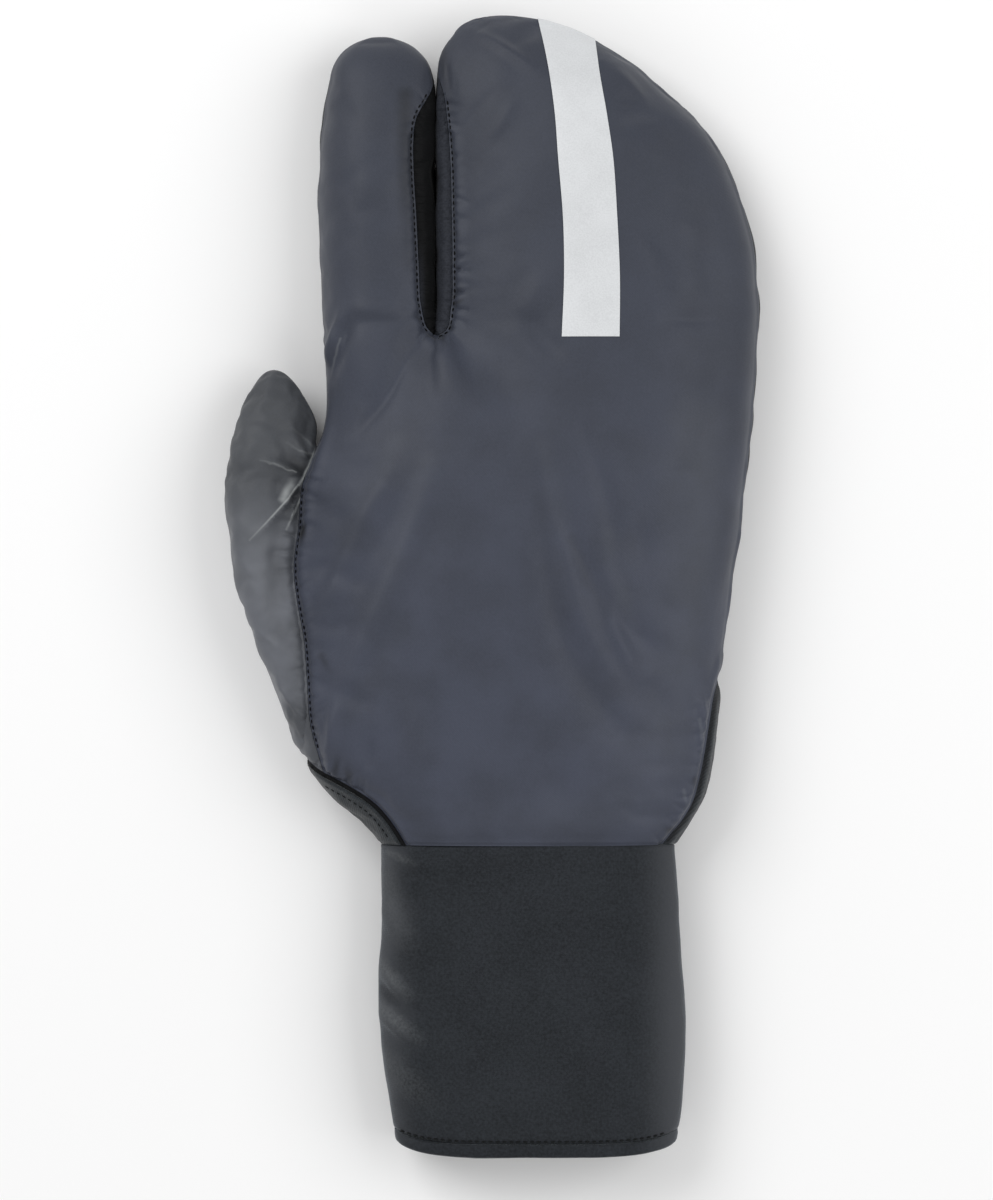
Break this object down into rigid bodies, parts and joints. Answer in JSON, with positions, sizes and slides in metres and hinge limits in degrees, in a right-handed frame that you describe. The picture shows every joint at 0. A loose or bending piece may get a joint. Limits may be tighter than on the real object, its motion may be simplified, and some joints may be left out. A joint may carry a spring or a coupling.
{
  "type": "winter cycling glove",
  "caption": "Hollow over-mitt glove with a separate index finger, a wide pouch for the other fingers, a thumb pouch, a reflective stripe and a long stretch cuff.",
  "frame": {"origin": "middle of the glove's footprint, on the surface that it lies on, palm down", "axes": "+Y towards the fingertips, +Z out of the back of the hand, thumb at -X (a right glove)"},
  "size_m": [0.1408, 0.3002, 0.0349],
  "materials": {
    "slate_nylon": "windproof nylon, soft satin sheen",
    "palm_cloth": "matt grip cloth",
    "fourchette_cloth": "matt black stretch cloth",
    "thumb_nylon": "windproof nylon, satin sheen",
    "binding_tape": "matt elastic tape",
    "piping_cord": "matt black piping",
    "cuff_knit": "smooth stretch knit, brushed",
    "reflective_film": "fine glass-bead reflective transfer"
  },
  "bodies": {
    "root": {"back_panel": "slate_nylon", "palm_panel": "palm_cloth", "index_mitt_fourchette": "fourchette_cloth", "thumb_pouch": "thumb_nylon", "thumb_side_binding": "binding_tape", "thumb_side_piping": "piping_cord", "little_side_binding": "binding_tape", "cuff": "cuff_knit", "cuff_hem": "cuff_knit", "reflective_stripe": "reflective_film"}
  },
  "joints": []
}
